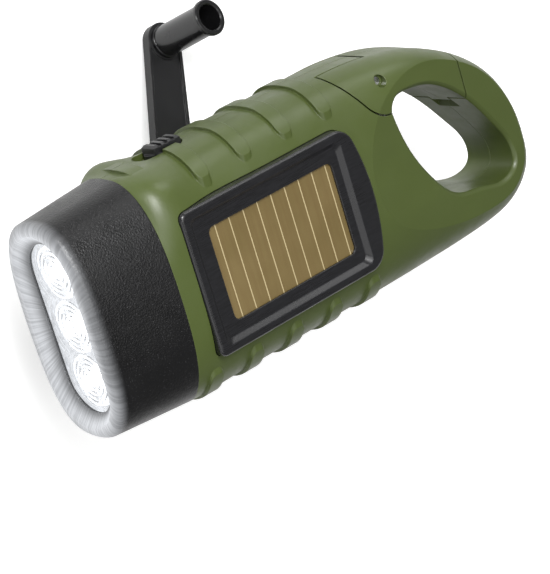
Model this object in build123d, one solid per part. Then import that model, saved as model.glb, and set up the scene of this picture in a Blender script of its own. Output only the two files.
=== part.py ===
from build123d import *
import os
from math import acos, atan2, cos, degrees, hypot, pi, radians, sin, sqrt, tan

# A hand-cranked pocket torch with a solar panel and a carabiner handle.
#
# The torch lies along X with its lens facing -X. The solar panel is on top (+Z), the folding crank is underneath
# (-Z), and the switch and the carabiner's gate are on the +Y side. All sizes are in millimetres.
# Solids are built about the lens end of the centre line; at the end they are all moved together so that the
# origin lies under the middle of the whole torch, on the surface that it stands on.

# ------------------------------------------------------------------ overall body
overall_length = 135.5
body_half_width = 26.6
body_half_thickness = 15.8
section_power = 2.65           # superellipse exponent of the barrel's cross-section
seam_x = 21.4                  # where the black head meets the green body
barrel_end_x = 78.0            # the handle begins to taper here
wall = 2.0
parting_gap = 0.12             # visible line between the two half shells
section_points = 24

# ------------------------------------------------------------------ head
front_half_width = 24.9
front_half_thickness = 13.4
front_section_power = 2.8
front_edge_radius = 1.9
head_wall = 2.2
head_front_wall = 5.6
seam_gap = 0.15
spigot_length = 4.0
spigot_wall = 1.5
spigot_root = 3.0
window_half_width = 19.9
window_half_height = 7.7
window_bevel_depth = 2.3
window_bevel_width = 2.7
lens_front_x = 3.1
lens_thickness = 1.6
lens_lip = 0.9
fit_gap = 0.1

# ------------------------------------------------------------------ light
led_pitch = 12.7
led_radius = 2.5
led_flange_radius = 2.9
led_length = 7.4
cup_radius = 6.2
cup_depth = 8.6
reflector_depth = 10.0
led_board_thickness = 1.6

# ------------------------------------------------------------------ solar panel
frame_front_x = 26.6
frame_rear_x = 78.5
frame_rear_corner_x = 75.6
frame_half_width = 16.8
frame_front_corner_radius = 1.8
frame_rear_corner_radius = 5.0
frame_top_z = 16.5
frame_ledge_z = 15.6
frame_edge_round = 0.9
rim_width = 2.0
rim_slope_width = 1.1
pocket_floor_z = 12.6
pocket_floor_wall = 1.5
cell_front_x = 33.2
cell_rear_x = 69.5
cell_half_width = 10.9
cell_corner_radius = 1.5
cell_top_z = 15.0
cell_margin = 1.2              # how far the panel reaches under the frame's lip

# ------------------------------------------------------------------ grip ribs
rib_count = 5
rib_first_x = 26.5
rib_pitch = 12.0
rib_width = 3.8
rib_height = 0.7
rib_half_reach_z = 12.9
rib_end_radius = 1.3

# ------------------------------------------------------------------ carabiner handle
loop_rim_radius = 1.1
flat_start_x = 80.0            # the handle's slanted flats leave the barrel here
flat_slope = 8.6
gate_pin_x = 91.5
gate_pin_y = 21.0
gate_pin_radius = 1.0
gate_pin_hole_radius = 1.45
gate_pin_inset = 0.8
gate_heel_radius = 7.4
gate_gap = 0.4
gate_outer_seam_dx = -12.2     # where the seam leaves the outer side, from the pin
gate_outer_seam_dy = 7.4
gate_tip_x = 116.6
gate_cheek_z = 4.9             # inner face of each cheek
gate_tongue_radius = 5.3
gate_tongue_neck = 3.0
gate_hook_length = 2.6
gate_hook_width = 4.0
gate_hook_half_height = 3.2
pin_running_gap = 0.05
spring_wire_radius = 0.3
spring_radius = 2.2
spring_turns = 4
spring_pitch = 0.75

# ------------------------------------------------------------------ switch
switch_x = 37.3
switch_recess_length = 13.0
switch_recess_width = 6.0
switch_recess_depth = 1.5
slider_rest_x = 38.7
slider_length = 7.4
slider_width = 4.6
slider_base_length = 9.2
slider_base_width = 5.2
slider_proud = 1.7
slider_travel = 2.8
slider_ridges = 3
slider_stem_length = 3.0
slider_stem_width = 2.2
slider_end_gap = 0.9
switch_slot_width = 2.8
switch_can_length = 12.0
switch_can_depth = 4.6
switch_can_height = 6.0

# ------------------------------------------------------------------ crank
hub_x = 47.5
hub_y = 0.0
hub_radius = 9.1
hub_recess_radius = 9.6
hub_thickness = 1.5
hub_top_z = -15.1              # outer face of the disc
hub_recess_floor_gap = 0.3
arm_thickness = 2.3
arm_skin_gap = 0.4             # folded arm above the crown of the body
arm_length = 46.8
arm_base_width = 11.6
arm_tip_width = 9.4
arm_knuckle_radius = 1.9
arm_window_width = 5.0
arm_window_length = 8.2
arm_lip_height = 0.5
arm_lip_width = 0.7
lug_width = 4.4
lug_length = 4.8
lug_rise = 1.4
arm_pin_radius = 0.8
crank_rest_angle = 60.0        # direction of the arm from +X
arm_rest_fold = 20.0           # how far the arm stands off the body at rest
knob_radius = 3.75
knob_lip_radius = 4.3
knob_lip_length = 1.0
knob_bore_radius = 3.05
knob_length = 16.9
knob_floor = 2.4
knob_screw_radius = 1.5
knob_screw_head_radius = 2.5
knob_screw_head_height = 1.3
knob_recess_radius = 5.9
knob_recess_top_z = 2.6

# ------------------------------------------------------------------ gear train
gear_module = 0.6
pressure_angle = 25.0
addendum_factor = 0.75
dedendum_factor = 1.05
tooth_backlash = 0.2
drive_teeth = 48
small_pinion_teeth = 12
first_wheel_teeth = 36
second_wheel_teeth = 30
rotor_pinion_teeth = 10
gear_step_gap = 0.3
drive_gear_width = 3.0
wheel_width = 2.0
second_axle_direction = -55.0
rotor_direction = 160.0
axle_radius = 1.0
shaft_radius = 2.5
bush_radius = 4.0
bush_flange_radius = 5.6
bush_flange_thickness = 0.6
plate_thickness = 1.2
plate_front_x = 25.2
plate_rear_x = 82.0
plate_half_width = 14.2
generator_radius = 10.4
generator_height = 8.4
generator_wall = 0.7
rotor_radius = 6.4
rotor_height = 6.0
stator_inner_radius = 6.9

# ------------------------------------------------------------------ electrics
battery_radius = 5.8
battery_length = 26.0
battery_x = 33.4
board_thickness = 1.6
board_front_x = 44.5
board_rear_x = 77.8
board_half_width = 13.0
board_gap = 0.3

# ------------------------------------------------------------------ fasteners
shell_screw_radius = 1.0
shell_screw_head_radius = 1.95
shell_screw_head_height = 1.3
screw_hole_radius = 2.25
screw_boss_radius = 3.2
screw_seat_z = -7.4
screw_tip_z = 6.0
front_screw_x = 27.8
front_screw_y = 18.1
rear_screw_x = 78.2
rear_screw_y = 18.6
nose_screw_x = 128.3
nose_screw_y = -19.2

reflector_flange = 1.4
led_flange_thickness = 1.0
led_leg_spacing = 2.54
led_leg_radius = 0.3
led_leg_tail = 1.0
rim_rear_width = 5.3
axle_boss_radius = 2.6
axle_foot_z = -13.4
post_radius = 2.2
small_screw_radius = 0.8
switch_pad = 1.3
knob_arm_gap = 0.15
wire_radius = 0.5
wire_bend = 1.6

# ------------------------------------------------------------------ derived places
body_inner_half_thickness = body_half_thickness - wall
fold_axis_z = -(body_half_thickness + arm_skin_gap + arm_thickness / 2)
hub_bottom_z = hub_top_z + hub_thickness
hub_recess_floor_z = hub_bottom_z + hub_recess_floor_gap
bush_inner_z = hub_recess_floor_z + 1.8
drive_gear_z = bush_inner_z + bush_flange_thickness + gear_step_gap
first_wheel_z = drive_gear_z + drive_gear_width + gear_step_gap
second_wheel_z = first_wheel_z + wheel_width + gear_step_gap
plate_z = second_wheel_z + wheel_width + gear_step_gap
plate_top_z = plate_z + plate_thickness
ceiling_z = pocket_floor_z - pocket_floor_wall
board_z = plate_top_z + generator_height + board_gap
lens_rear_x = lens_front_x + lens_thickness
reflector_rear_x = lens_rear_x + reflector_depth
led_board_rear_x = reflector_rear_x + led_board_thickness
handle_length = overall_length - barrel_end_x
screw_places = [
    (front_screw_x, front_screw_y),
    (front_screw_x, -front_screw_y),
    (rear_screw_x, rear_screw_y),
    (nose_screw_x, nose_screw_y),
]


def polar(centre, radius, angle):
    """The point at this angle, in degrees, on a circle."""
    return (centre[0] + radius * cos(radians(angle)), centre[1] + radius * sin(radians(angle)))


def centre_distance(teeth_a, teeth_b):
    return gear_module * (teeth_a + teeth_b) / 2


drive_axis = (hub_x, hub_y)
first_axis = polar(drive_axis, centre_distance(drive_teeth, small_pinion_teeth), 0.0)
second_axis = polar(first_axis, centre_distance(first_wheel_teeth, small_pinion_teeth), second_axle_direction)
rotor_axis = polar(second_axis, centre_distance(second_wheel_teeth, rotor_pinion_teeth), rotor_direction)


# ------------------------------------------------------------------ section helpers
def superellipse_point(half_a, half_b, power, angle):
    """A point of a superellipse by its parameter, in radians."""
    c, s = cos(angle), sin(angle)
    a = half_a * abs(c) ** (2 / power) * (1 if c >= 0 else -1)
    b = half_b * abs(s) ** (2 / power) * (1 if s >= 0 else -1)
    return a, b


def section(x, half_width, half_thickness, power, y=0.0, low_power=None):
    """A closed superellipse face across X, with an exponent of its own on the -Y side if one is given."""
    points = []
    for i in range(section_points):
        angle = 2 * pi * (i + 0.5) / section_points
        exponent = power if cos(angle) > 0 else low_power or power
        a, b = superellipse_point(half_width, half_thickness, exponent, angle)
        points.append((x, y + a, b))
    return make_face(Spline(*points, periodic=True))


def handle_stations():
    """Distance along the handle, lower and upper Y and half thickness as shares, and the +Y side's exponent."""
    return [
        (0.174, -0.998, 0.985, 0.990, 3.2),
        (0.330, -0.994, 0.945, 0.965, 3.8),
        (0.475, -0.989, 0.880, 0.930, 4.0),
        (0.591, -0.981, 0.780, 0.880, 4.0),
        (0.718, -0.962, 0.630, 0.800, 3.8),
        (0.800, -0.930, 0.500, 0.725, 3.6),
        (0.875, -0.865, 0.335, 0.625, 3.3),
        (0.932, -0.780, 0.140, 0.515, 3.0),
        (0.970, -0.690, -0.060, 0.385, 2.8),
        (0.992, -0.600, -0.250, 0.220, 2.65),
    ]


def body_stations():
    """Sections of the green body: X, half width, half thickness, middle Y and exponent."""
    barrel = barrel_end_x - seam_x
    rows = [(seam_x + barrel * share, -1.0, 1.0, 1.0, section_power) for share in (0, 0.25, 0.5, 0.75, 1)]
    rows += [(barrel_end_x + handle_length * u, *shares) for u, *shares in handle_stations()]
    sections = []
    for x, low, high, thick, power in rows:
        half_width = body_half_width * (high - low) / 2
        middle = body_half_width * (high + low) / 2
        sections.append((x, half_width, body_half_thickness * thick, middle, power))
    return sections


def body_blank():
    """The whole outside of the green body as one solid, from the seam to the tip of the handle."""
    faces = [section(x, w, t, power, y, section_power) for x, w, t, y, power in body_stations()]
    tip_y = -0.43 * body_half_width
    return loft(faces + [Vertex(overall_length, tip_y, 0)])


def face_height(x, y):
    """Height of the green body's face above the parting plane at one place."""
    rows = body_stations()
    after = next(i for i, row in enumerate(rows) if row[0] > x)
    low, high = rows[after - 1], rows[after]
    share = (x - low[0]) / (high[0] - low[0])
    _, half_width, half_thickness, middle, power = [a + (b - a) * share for a, b in zip(low, high)]
    return half_thickness * (1 - abs((y - middle) / half_width) ** power) ** (1 / power)


def barrel_cavity():
    """The room inside the barrel, one wall thinner than its outside."""
    first = seam_x + spigot_root
    last = barrel_end_x + 0.12 * handle_length
    rows = [first, first + 6, (seam_x + barrel_end_x) / 2, barrel_end_x - 4, last]
    shares = [1, 1, 1, 1, 0.97]
    faces = []
    for x, share in zip(rows, shares):
        half_width = (body_half_width - wall) * share
        half_thickness = body_inner_half_thickness * share
        faces.append(section(x, half_width, half_thickness, section_power))
    return loft(faces)


def slab(z_low, z_high, margin=60):
    """A wide block between two heights."""
    return Pos(overall_length / 2, 0, (z_low + z_high) / 2) * Box(
        overall_length + 2 * margin, 2 * margin, z_high - z_low
    )


def disc(x, y, radius, z_low, z_high):
    """An upright cylinder between two heights."""
    return Pos(x, y, (z_low + z_high) / 2) * Cylinder(radius, z_high - z_low)


def ring(x, y, inner, outer, z_low, z_high):
    return disc(x, y, outer, z_low, z_high) - disc(x, y, inner, z_low, z_high)


def block(x_low, x_high, y_low, y_high, z_low, z_high):
    return Pos((x_low + x_high) / 2, (y_low + y_high) / 2, (z_low + z_high) / 2) * Box(
        x_high - x_low, y_high - y_low, z_high - z_low
    )


# ------------------------------------------------------------------ handle and gate
def loop_outline(growth=0.0):
    """Points of the loop's opening in plan, grown outwards along its normals."""
    shares = [
        (0.242, 0.480), (0.280, 0.130), (0.370, -0.230), (0.480, -0.465), (0.625, -0.545),
        (0.775, -0.610), (0.850, -0.535), (0.858, -0.360), (0.800, -0.120), (0.700, 0.180), (0.575, 0.430),
        (0.460, 0.560), (0.350, 0.605), (0.272, 0.590),
    ]
    points = [Vector(barrel_end_x + handle_length * u, body_half_width * v) for u, v in shares]
    grown = []
    for i, p in enumerate(points):
        along = points[(i + 1) % len(points)] - points[i - 1]
        outward = Vector(along.Y, -along.X).normalized()
        grown.append(p + outward * growth)
    return grown


def flat_height(x):
    """Height of the slanted flats on both faces of the handle."""
    return body_half_thickness - (x - flat_start_x) * tan(radians(flat_slope))


def loop_face(growth, side, lift):
    """The opening's outline on one of the flats, or above it."""
    points = [(p.X, p.Y, side * (flat_height(p.X) + lift)) for p in loop_outline(growth)]
    return make_face(Spline(*points, periodic=True))


def loop_cutter():
    """The opening with its rounded rims, and the slanted flats on both faces of the handle."""
    outline = [(p.X, p.Y, -body_half_thickness - 2) for p in loop_outline()]
    cuts = [extrude(make_face(Spline(*outline, periodic=True)), 2 * body_half_thickness + 4, dir=(0, 0, 1))]
    above = body_half_thickness + 4
    end = overall_length + 2
    for side in (1, -1):
        rows = ((-0.3, -1.25), (0.2, -0.5), (0.5, -0.2), (1.25, 0.3))
        rim = [loop_face(loop_rim_radius * grown, side, loop_rim_radius * lift) for grown, lift in rows]
        cuts.append(loft(rim, ruled=True))
        corners = [
            (flat_start_x, side * flat_height(flat_start_x)), (end, side * flat_height(end)),
            (end, side * above), (flat_start_x, side * above),
        ]
        profile = Plane.XZ * make_face(Polyline(*corners, close=True))
        cuts.append(Pos(0, 2 * body_half_width, 0) * extrude(profile, 4 * body_half_width))
    return cuts


def gate_region(growth):
    """Plan area that belongs to the gate: an arc about the pin at the heel, a straight cut at the tip."""
    radius = gate_heel_radius + growth
    start = Vector(gate_outer_seam_dx - growth, gate_outer_seam_dy)
    reach = hypot(start.X, start.Y)
    tangent_angle = degrees(atan2(start.Y, start.X)) + degrees(acos(radius / reach))
    pin = Vector(gate_pin_x, gate_pin_y)
    touch = pin + Vector(radius, 0).rotate(Axis.Z, tangent_angle)
    low = pin + Vector(radius, 0).rotate(Axis.Z, 270)
    middle = pin + Vector(radius, 0).rotate(Axis.Z, (tangent_angle + 270) / 2)
    seam_start = pin + start
    beyond = seam_start + (seam_start - touch).normalized() * 12
    tip = gate_tip_x + growth
    inside = gate_pin_y - gate_heel_radius - growth
    outside = body_half_width + 16
    wire = Wire([
        Line((beyond.X, beyond.Y), (touch.X, touch.Y)),
        ThreePointArc((touch.X, touch.Y), (middle.X, middle.Y), (low.X, low.Y)),
        Line((low.X, low.Y), (gate_pin_x + 5, inside)),
        Line((gate_pin_x + 5, inside), (gate_pin_x + 12, 0)),
        Line((gate_pin_x + 12, 0), (tip, 0)),
        Line((tip, 0), (tip, outside)),
        Line((tip, outside), (beyond.X, outside)),
        Line((beyond.X, outside), (beyond.X, beyond.Y)),
    ])
    return Pos(0, 0, -body_half_thickness - 2) * extrude(make_face(wire), 2 * body_half_thickness + 4)


def gate_tongue(growth):
    """The body's middle leaf, which the gate's two cheeks straddle."""
    height = gate_cheek_z - gate_gap + growth
    radius = gate_tongue_radius + growth
    knuckle = disc(gate_pin_x, gate_pin_y, radius, -height, height)
    neck = block(
        barrel_end_x, gate_pin_x + growth, gate_pin_y - gate_tongue_neck - growth, body_half_width + 2,
        -height, height,
    )
    return knuckle + neck


def gate_swing_room():
    """The middle of the gate keeps to the tip side of its pin, so that it can swing past the tongue."""
    return block(
        barrel_end_x, gate_pin_x + gate_gap, 0, body_half_width + 2, -gate_cheek_z, gate_cheek_z
    )


def gate_hook(growth):
    """The hook at the gate's tip, which catches in the nose and lets go inwards."""
    y_middle = nose_notch_y()
    return block(
        gate_tip_x - 2 + growth, gate_tip_x + gate_hook_length + growth,
        y_middle - gate_hook_width, y_middle + gate_hook_width / 2 + growth,
        -gate_hook_half_height - growth, gate_hook_half_height + growth,
    )


def nose_notch():
    """The room in the nose that the hook rests in, open towards the loop so that the hook can swing out."""
    mouth = block(
        gate_tip_x, gate_tip_x + gate_hook_length + gate_gap, 0, nose_notch_y(),
        -gate_hook_half_height - gate_gap, gate_hook_half_height + gate_gap,
    )
    return gate_hook(gate_gap) + mouth


def nose_notch_y():
    """Middle of the handle's section where the gate meets the nose."""
    return 0.36 * body_half_width


def make_gate(blank):
    """Both halves of the gate in one solid, before they are parted."""
    gate = (blank & gate_region(0)) - [gate_tongue(gate_gap), gate_swing_room()]
    gate = (gate + (blank & gate_hook(0))) - loop_cutter()
    gate -= disc(gate_pin_x, gate_pin_y, gate_pin_radius + pin_running_gap, -gate_pin_end_z(), gate_pin_end_z())
    for side in (1, -1):
        low, high = sorted((side * gate_pin_end_z(), side * (body_half_thickness + 1)))
        gate -= disc(gate_pin_x, gate_pin_y, gate_pin_hole_radius, low, high)
    return largest(gate)


def gate_pin_end_z():
    """The pin stops short of the gate's outer faces."""
    return face_height(gate_pin_x, gate_pin_y + gate_pin_radius) - gate_pin_inset


def largest(shape):
    return max(shape.solids(), key=lambda s: s.volume)


def halves(shape):
    """The +Z and -Z parts of a shape, with the parting line between them."""
    reach = body_half_thickness + 6
    upper = shape & slab(parting_gap / 2, reach)
    lower = shape & slab(-reach, -parting_gap / 2)
    return upper, lower


# ------------------------------------------------------------------ grip ribs
def rib_profile(x):
    """Outline of one rib seen from the side, a tall rounded rectangle."""
    sketch = Plane.XZ * Pos(x, 0) * RectangleRounded(rib_width, 2 * rib_half_reach_z, rib_end_radius)
    return extrude(sketch, body_half_width + 6, both=True)


def barrel_skin(growth):
    """The plain barrel, grown outwards by a skin thickness."""
    faces = []
    for x in (seam_x + 1, (seam_x + barrel_end_x) / 2, barrel_end_x):
        faces.append(section(x, body_half_width + growth, body_half_thickness + growth, section_power))
    return loft(faces)


def ribs():
    """Raised bands round both sides of the barrel."""
    band = barrel_skin(rib_height) - barrel_skin(-wall / 2)
    made = None
    for i in range(rib_count):
        rib = band & rib_profile(rib_first_x + i * rib_pitch)
        made = rib if made is None else made + rib
    return made


# ------------------------------------------------------------------ solar frame
def frame_outline(inset):
    """Outline of the solar frame in plan: square in front, with a bulging rear edge."""
    front = frame_front_x + inset
    side = frame_half_width - inset
    corner = frame_rear_corner_x - inset
    wire = Wire([
        Line((front, -side), (corner, -side)),
        ThreePointArc((corner, -side), (frame_rear_x - inset, 0), (corner, side)),
        Line((corner, side), (front, side)),
        Line((front, side), (front, -side)),
    ])
    face = make_face(wire)
    face = fillet(face.vertices().sort_by(Axis.X)[-2:], frame_rear_corner_radius)
    return fillet(face.vertices().sort_by(Axis.X)[:2], frame_front_corner_radius)


def rounded_box(x_low, x_high, half_width, radius, z_low, z_high):
    """An upright rounded rectangle between two heights."""
    face = Pos((x_low + x_high) / 2, 0, z_low) * RectangleRounded(x_high - x_low, 2 * half_width, radius)
    return extrude(face, z_high - z_low)


def make_solar_frame():
    frame = extrude(Pos(0, 0, pocket_floor_z) * frame_outline(0), frame_top_z - pocket_floor_z)
    frame = fillet(frame.faces().sort_by(Axis.Z)[-1].edges(), frame_edge_round)
    dish = []
    for inset, z in ((rim_width, frame_top_z), (rim_width + rim_slope_width, frame_ledge_z)):
        low, high = frame_front_x + inset, cell_rear_x + rim_rear_width - inset
        half = frame_half_width - inset
        dish.append(Pos((low + high) / 2, 0, z) * RectangleRounded(high - low, 2 * half, cell_corner_radius))
    frame -= loft(dish, ruled=True)
    frame -= rounded_box(
        cell_front_x, cell_rear_x, cell_half_width, cell_corner_radius, cell_top_z - 1, frame_top_z
    )
    frame -= rounded_box(
        cell_front_x - cell_margin - fit_gap, cell_rear_x + cell_margin + fit_gap,
        cell_half_width + cell_margin + fit_gap, cell_corner_radius, pocket_floor_z - 1, cell_top_z,
    )
    return frame


def make_solar_cell():
    return rounded_box(
        cell_front_x - cell_margin, cell_rear_x + cell_margin, cell_half_width + cell_margin,
        cell_corner_radius, pocket_floor_z, cell_top_z,
    )


# ------------------------------------------------------------------ head and lamp
def head_section(x, growth):
    """The head's section, which tapers towards the lens."""
    share = x / seam_x
    half_width = front_half_width + (body_half_width - front_half_width) * share + growth
    half_thickness = front_half_thickness + (body_half_thickness - front_half_thickness) * share + growth
    power = front_section_power + (section_power - front_section_power) * share
    return section(x, half_width, half_thickness, power)


def stadium(x, half_width, half_height):
    """A stadium face across X, long in Y."""
    sketch = SlotOverall(2 * half_width, 2 * half_height)
    return Plane((x, 0, 0), x_dir=(0, 1, 0), z_dir=(1, 0, 0)) * sketch


def stadium_bar(x_low, x_high, half_width, half_height):
    return extrude(stadium(x_low, half_width, half_height), x_high - x_low)


def make_head():
    head = loft([head_section(x, 0) for x in (0, seam_x / 2, seam_x)])
    head = fillet(head.faces().sort_by(Axis.X)[0].edges(), front_edge_radius)
    head -= loft([head_section(x, -head_wall) for x in (head_front_wall, seam_x / 2, seam_x)])
    bevel = [
        stadium(0, window_half_width + window_bevel_width, window_half_height + window_bevel_width),
        stadium(window_bevel_depth, window_half_width + 0.2, window_half_height + 0.2),
    ]
    head -= loft(bevel, ruled=True)
    head -= stadium_bar(window_bevel_depth - 0.5, head_front_wall + 1, window_half_width, window_half_height)
    head -= stadium_bar(
        lens_front_x, head_front_wall + 1,
        window_half_width + lens_lip + fit_gap, window_half_height + lens_lip + fit_gap,
    )
    return head


def make_lens():
    return stadium_bar(lens_front_x, lens_rear_x, window_half_width + lens_lip, window_half_height + lens_lip)


def led_places():
    return [-led_pitch, 0.0, led_pitch]


def cylinder_x(y, x_low, x_high, radius):
    return Pos((x_low + x_high) / 2, y, 0) * Rot(0, 90, 0) * Cylinder(radius, x_high - x_low)


def cup(y):
    """One bowl of the reflector, a paraboloid that opens towards the lens."""
    x_end = lens_rear_x + cup_depth
    floor_radius = led_radius + fit_gap
    middle_radius = floor_radius + (cup_radius - floor_radius) * 0.68
    profile = make_face(Wire([
        Line((lens_rear_x, y, 0), (lens_rear_x, y + cup_radius, 0)),
        ThreePointArc(
            (lens_rear_x, y + cup_radius, 0),
            (lens_rear_x + cup_depth * 0.5, y + middle_radius, 0),
            (x_end, y + floor_radius, 0),
        ),
        Line((x_end, y + floor_radius, 0), (x_end, y, 0)),
        Line((x_end, y, 0), (lens_rear_x, y, 0)),
    ]))
    return revolve(profile, Axis((0, y, 0), (1, 0, 0)), 360)


def make_reflector():
    bowl = stadium_bar(lens_rear_x, reflector_rear_x, window_half_width, window_half_height)
    flange = stadium_bar(
        head_front_wall, head_front_wall + reflector_flange, window_half_width + 2.2, window_half_height + 2.0
    )
    plug = stadium_bar(
        lens_rear_x, head_front_wall, window_half_width + lens_lip, window_half_height + lens_lip
    )
    reflector = bowl + plug + flange
    for y in led_places():
        reflector -= cup(y)
        reflector -= cylinder_x(y, lens_rear_x, reflector_rear_x, led_radius + fit_gap)
        reflector -= cylinder_x(
            y, reflector_rear_x - led_flange_thickness, reflector_rear_x, led_flange_radius + fit_gap
        )
    return reflector


def make_led(y):
    """A round lamp with a domed nose, a flange and two legs through the board."""
    flange_x = reflector_rear_x - led_flange_thickness
    straight = led_length - led_radius
    led = cylinder_x(y, reflector_rear_x - straight, reflector_rear_x, led_radius)
    led += Pos(reflector_rear_x - straight, y, 0) * Sphere(led_radius)
    led += cylinder_x(y, flange_x, reflector_rear_x, led_flange_radius)
    for side in (1, -1):
        leg = Pos(0, 0, side * led_leg_spacing / 2) * cylinder_x(
            y, reflector_rear_x - 1, led_board_rear_x + led_leg_tail, led_leg_radius
        )
        led += leg
    return led


def make_led_board():
    board = stadium_bar(reflector_rear_x, led_board_rear_x, window_half_width + 1.5, window_half_height + 1.2)
    for y in led_places():
        for side in (1, -1):
            board -= Pos(0, 0, side * led_leg_spacing / 2) * cylinder_x(
                y, reflector_rear_x - 1, led_board_rear_x + 1, led_leg_radius
            )
    return board


# ------------------------------------------------------------------ half shells
def switch_slot(length, width, y_low, y_high):
    """A slot in the gate-side wall, long in X."""
    sketch = Plane((0, y_low, 0), x_dir=(1, 0, 0), z_dir=(0, 1, 0)) * SlotOverall(length, width)
    return extrude(sketch, y_high - y_low)


def knob_stow_axis():
    return polar(drive_axis, arm_length, crank_rest_angle - 90)


def spigot():
    """The ring that the head slides over."""
    x_low, x_high = seam_x - spigot_length, seam_x + spigot_root
    outer = -head_wall - seam_gap
    ring_outer = loft([head_section(x_low, outer), head_section(seam_x, outer)])
    root = loft([head_section(seam_x, outer), section(
        x_high, body_half_width - wall / 2, body_half_thickness - wall / 2, section_power
    )])
    inner = outer - spigot_wall
    hollow = loft([head_section(x_low - 1, inner), head_section(seam_x, inner), section(
        x_high + 1, body_half_width + inner, body_half_thickness + inner, section_power
    )])
    return ring_outer + root - hollow


def body_throat():
    """What is cleared between the seam and the barrel's cavity."""
    inner = -head_wall - seam_gap - spigot_wall
    faces = []
    for x in (seam_x - 1, seam_x + spigot_root / 2, seam_x + spigot_root + 0.5):
        faces.append(section(x, body_half_width + inner, body_half_thickness + inner, section_power))
    return loft(faces)


def plate_posts():
    return [
        (plate_front_x + 3.4, 11.0),
        (plate_front_x + 3.4, -11.0),
        (plate_rear_x - 2.6, 8.5),
    ]


def board_posts():
    inset = 3.0
    return [
        (board_front_x + inset, board_half_width - inset),
        (board_front_x + inset, -board_half_width + inset),
        (board_rear_x - inset, board_half_width - inset),
        (board_rear_x - inset, -board_half_width + inset),
    ]


def inside_columns():
    """Bosses, posts and columns that rise from the walls, before they are trimmed by the barrel's skin."""
    floor = -body_half_thickness
    columns = [disc(x, y, screw_boss_radius, floor, ceiling_z + 1) for x, y in screw_places[:3]]
    columns.append(disc(hub_x, hub_y, hub_recess_radius + 1.8, floor, bush_inner_z))
    for (x, y), top in ((first_axis, drive_gear_z), (second_axis, first_wheel_z)):
        columns.append(disc(x, y, axle_boss_radius, floor, top - gear_step_gap))
    columns += [disc(x, y, post_radius, floor, plate_z) for x, y in plate_posts()]
    return columns[0].fuse(*columns[1:])


def body_additions(blank):
    """What the walls carry on their inside and outside."""
    skin = barrel_skin(-wall / 2)
    columns = skin & inside_columns()
    pocket_wall = skin & extrude(
        Pos(0, 0, ceiling_z) * frame_outline(-pocket_floor_wall), body_half_thickness - ceiling_z
    )
    stow_x, stow_y = knob_stow_axis()
    stow_wall = blank & disc(
        stow_x, stow_y, knob_recess_radius + 1.6, -body_half_thickness, knob_recess_top_z + 1.6
    )
    board_columns = [
        disc(x, y, post_radius, board_z + board_thickness, ceiling_z + 0.5) for x, y in board_posts()
    ]
    switch_wall = block(
        switch_x - switch_recess_length / 2 - 1, switch_x + switch_recess_length / 2 + 1,
        body_half_width - wall - switch_pad, body_half_width - wall / 2,
        -switch_recess_width / 2 - 1, switch_recess_width / 2 + 1,
    )
    return [ribs(), spigot(), pocket_wall, columns, stow_wall, switch_wall] + board_columns


def body_cutters():
    """Every pocket, hole and opening of the two half shells."""
    outside = -body_half_thickness - 2
    cutters = [extrude(Pos(0, 0, pocket_floor_z) * frame_outline(-fit_gap), body_half_thickness)]
    for x, y in screw_places[:3]:
        cutters += screw_cutters(x, y)
    cutters.append(disc(hub_x, hub_y, hub_recess_radius, outside, hub_recess_floor_z))
    cutters.append(disc(hub_x, hub_y, bush_radius, hub_recess_floor_z - 1, bush_inner_z + 1))
    for (x, y), top in ((first_axis, drive_gear_z), (second_axis, first_wheel_z)):
        cutters.append(disc(x, y, axle_radius, axle_foot_z, top))
    cutters += [disc(x, y, small_screw_radius, plate_z - 5, plate_z + 1) for x, y in plate_posts()]
    cutters += [disc(x, y, small_screw_radius, board_z, ceiling_z) for x, y in board_posts()]
    cutters.append(Pos(switch_x, 0, 0) * switch_slot(
        switch_recess_length, switch_recess_width, body_half_width - switch_recess_depth, body_half_width + 5
    ))
    cutters.append(Pos(slider_rest_x - slider_travel / 2, 0, 0) * switch_slot(
        slider_stem_length + slider_travel + 2 * slider_end_gap, switch_slot_width,
        body_half_width - wall - switch_pad - 1, body_half_width,
    ))
    cutters.append(disc(*knob_stow_axis(), knob_recess_radius, outside, knob_recess_top_z))
    return cutters


def screw_cutters(x, y):
    """The countersunk way in and the pilot of one shell screw."""
    return [
        disc(x, y, screw_hole_radius, -body_half_thickness - 2, screw_seat_z),
        disc(x, y, shell_screw_radius, screw_seat_z - 1, screw_tip_z),
    ]


def make_handle(blank):
    """The outside with the loop, the gate's room, the pin's tongue and the nose cut into it."""
    openings = loop_cutter()
    handle = blank - (openings + [gate_region(gate_gap)])
    handle -= nose_notch()
    for cutter in screw_cutters(nose_screw_x, nose_screw_y):
        handle -= cutter
    tongue = (blank & gate_tongue(0)) - openings
    tongue -= disc(gate_pin_x, gate_pin_y, gate_pin_radius, -gate_cheek_z, gate_cheek_z)
    tongue -= ring(
        gate_pin_x, gate_pin_y, gate_pin_radius, spring_radius + spring_wire_radius + 0.25,
        spring_low_z(), gate_cheek_z,
    )
    return handle + tongue


def make_shells(blank):
    """The two half shells, with their ribs, bosses, pockets and openings, and the handle's solid loop."""
    whole = make_handle(blank) - [barrel_cavity(), body_throat()]
    whole += body_additions(blank)
    whole -= body_cutters()
    return [largest(half) for half in halves(whole)]


def spring_low_z():
    return gate_cheek_z - gate_gap - spring_turns * spring_pitch - 0.4


def make_gate_spring():
    """A torsion spring's coil around the gate pin, in a pocket of the tongue."""
    path = Helix(spring_pitch, spring_turns * spring_pitch - 0.4, spring_radius)
    profile = Plane(path @ 0, z_dir=path % 0) * Circle(spring_wire_radius)
    coil = sweep(profile, path)
    return Pos(gate_pin_x, gate_pin_y, spring_low_z() + spring_wire_radius + 0.05) * coil


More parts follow.
